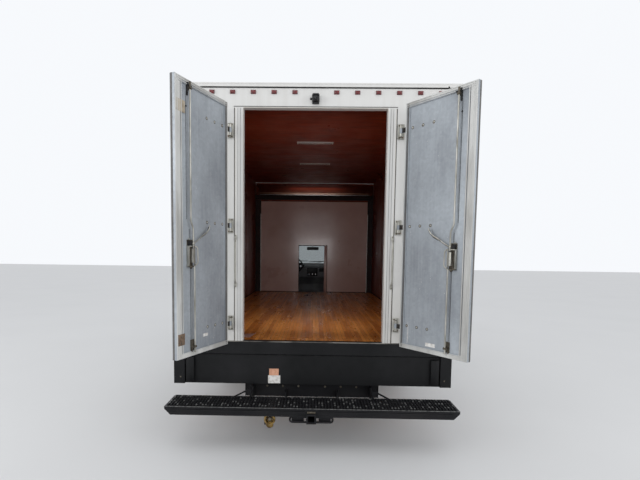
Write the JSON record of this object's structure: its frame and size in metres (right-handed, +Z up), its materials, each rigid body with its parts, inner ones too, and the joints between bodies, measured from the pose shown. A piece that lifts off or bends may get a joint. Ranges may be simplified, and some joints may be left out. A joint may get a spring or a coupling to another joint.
{
  "type": "box truck",
  "caption": "Box truck with a cutaway van cab, twin rear wheels, a wood-lined load body with a peak over the cab, rear barn doors and a step bumper.",
  "frame": {"origin": "on the ground under the middle of the truck's box with its rear doors open as stored", "axes": "+X to the truck's right, +Y to its front, +Z up"},
  "size_m": [2.63, 8.0298, 3.041],
  "materials": {
    "body_white": "gloss",
    "cab_white": "gloss",
    "frame_grey": "satin",
    "sill_black": "worn",
    "chassis_black": "satin",
    "galvanised": "spangled",
    "zinc": "satin",
    "rim_white": "satin",
    "steel_dark": "rough",
    "pipe_steel": "dull",
    "tyre_black": "matte",
    "rubber_black": "matte",
    "floor_wood": "varnished",
    "wall_wood": "varnished",
    "glass": "clear",
    "lamp_clear": "clear",
    "lamp_red": "gloss",
    "plastic_black": "matte",
    "plastic_grey": "matte",
    "seat_cloth": "woven",
    "socket_brass": "tarnished"
  },
  "bodies": {
    "chassis": {"frame_rails": "chassis_black", "front_axle": "steel_dark", "rear_axle": "steel_dark", "springs": "steel_dark", "engine_block": "steel_dark", "driveshaft": "steel_dark", "fuel_tank": "chassis_black", "exhaust": "pipe_steel", "mud_flaps": "rubber_black", "cab_shell": "cab_white", "front_wings": "cab_white", "cab_floor": "plastic_grey", "grille": "plastic_black", "headlamps": "lamp_clear", "front_bumper": "plastic_grey", "windscreen": "glass", "dashboard": "plastic_grey", "steering_wheel": "plastic_black", "seats": "seat_cloth", "pass_boot": "rubber_black", "box_floor": "floor_wood", "floor_crossmembers": "chassis_black", "box_side_left": "body_white", "box_side_right": "body_white", "box_roof": "body_white", "box_front_wall": "wall_wood", "box_peak": "body_white", "wall_lining": "wall_wood", "rear_frame": "frame_grey", "rear_sill": "sill_black", "rear_hardware": "frame_grey", "rear_lamps": "lamp_red", "rear_camera": "plastic_black", "step_bumper": "chassis_black", "hitch": "chassis_black", "trailer_socket": "socket_brass"},
    "rear_door_left": {"rear_door_left": "galvanised", "door_latch_left": "zinc"},
    "rear_door_right": {"rear_door_right": "galvanised", "door_latch_right": "zinc"},
    "cab_door_left": {"cab_door_left": "cab_white", "door_glass_left": "glass", "mirror_left": "plastic_black"},
    "cab_door_right": {"cab_door_right": "cab_white", "door_glass_right": "glass", "mirror_right": "plastic_black"},
    "hood": {"hood": "cab_white"},
    "steer_left": {"knuckle_left": "steel_dark"},
    "steer_right": {"knuckle_right": "steel_dark"},
    "front_wheel_left": {"front_rim_left": "rim_white", "front_tyre_left": "tyre_black"},
    "front_wheel_right": {"front_rim_right": "rim_white", "front_tyre_right": "tyre_black"},
    "rear_wheels_left": {"rear_rims_left": "rim_white", "rear_tyres_left": "tyre_black"},
    "rear_wheels_right": {"rear_rims_right": "rim_white", "rear_tyres_right": "tyre_black"}
  },
  "joints": [
    {"name": "rear_door_left_hinge", "type": "hinge", "parent": "chassis", "child": "rear_door_left", "pos_m": [-0.7155, -3.35, 1.85], "axis": [0, 0, -1], "range_deg": [-112.3, 52.7]},
    {"name": "rear_door_right_hinge", "type": "hinge", "parent": "chassis", "child": "rear_door_right", "pos_m": [0.7155, -3.35, 1.85], "axis": [0, 0, 1], "range_deg": [-127.3, 37.7]},
    {"name": "cab_door_left_hinge", "type": "hinge", "parent": "chassis", "child": "cab_door_left", "pos_m": [-1.025, 2.788, 0.9], "axis": [0, 0, -1], "range_deg": [0, 65]},
    {"name": "cab_door_right_hinge", "type": "hinge", "parent": "chassis", "child": "cab_door_right", "pos_m": [1.025, 2.788, 0.9], "axis": [0, 0, 1], "range_deg": [0, 65]},
    {"name": "hood_hinge", "type": "hinge", "parent": "chassis", "child": "hood", "pos_m": [0, 3.097, 1.338], "axis": [1, 0, 0], "range_deg": [0, 50]},
    {"name": "steer_left_pivot", "type": "hinge", "parent": "chassis", "child": "steer_left", "pos_m": [-0.735, 3.21, 0.3715], "axis": [0, 0, 1], "range_deg": [-35, 35]},
    {"name": "steer_right_pivot", "type": "hinge", "parent": "chassis", "child": "steer_right", "pos_m": [0.735, 3.21, 0.3715], "axis": [0, 0, 1], "range_deg": [-35, 35]},
    {"name": "front_wheel_left_spin", "type": "hinge", "parent": "steer_left", "child": "front_wheel_left", "pos_m": [-0.88, 3.21, 0.3715], "axis": [1, 0, 0], "continuous": true},
    {"name": "front_wheel_right_spin", "type": "hinge", "parent": "steer_right", "child": "front_wheel_right", "pos_m": [0.88, 3.21, 0.3715], "axis": [1, 0, 0], "continuous": true},
    {"name": "rear_wheels_left_spin", "type": "hinge", "parent": "chassis", "child": "rear_wheels_left", "pos_m": [-0.948, -1.26, 0.3715], "axis": [1, 0, 0], "continuous": true},
    {"name": "rear_wheels_right_spin", "type": "hinge", "parent": "chassis", "child": "rear_wheels_right", "pos_m": [0.948, -1.26, 0.3715], "axis": [1, 0, 0], "continuous": true}
  ],
  "couplings": [
    {"joint": "steer_right_pivot", "follows": "steer_left_pivot", "ratio": 1}
  ]
}
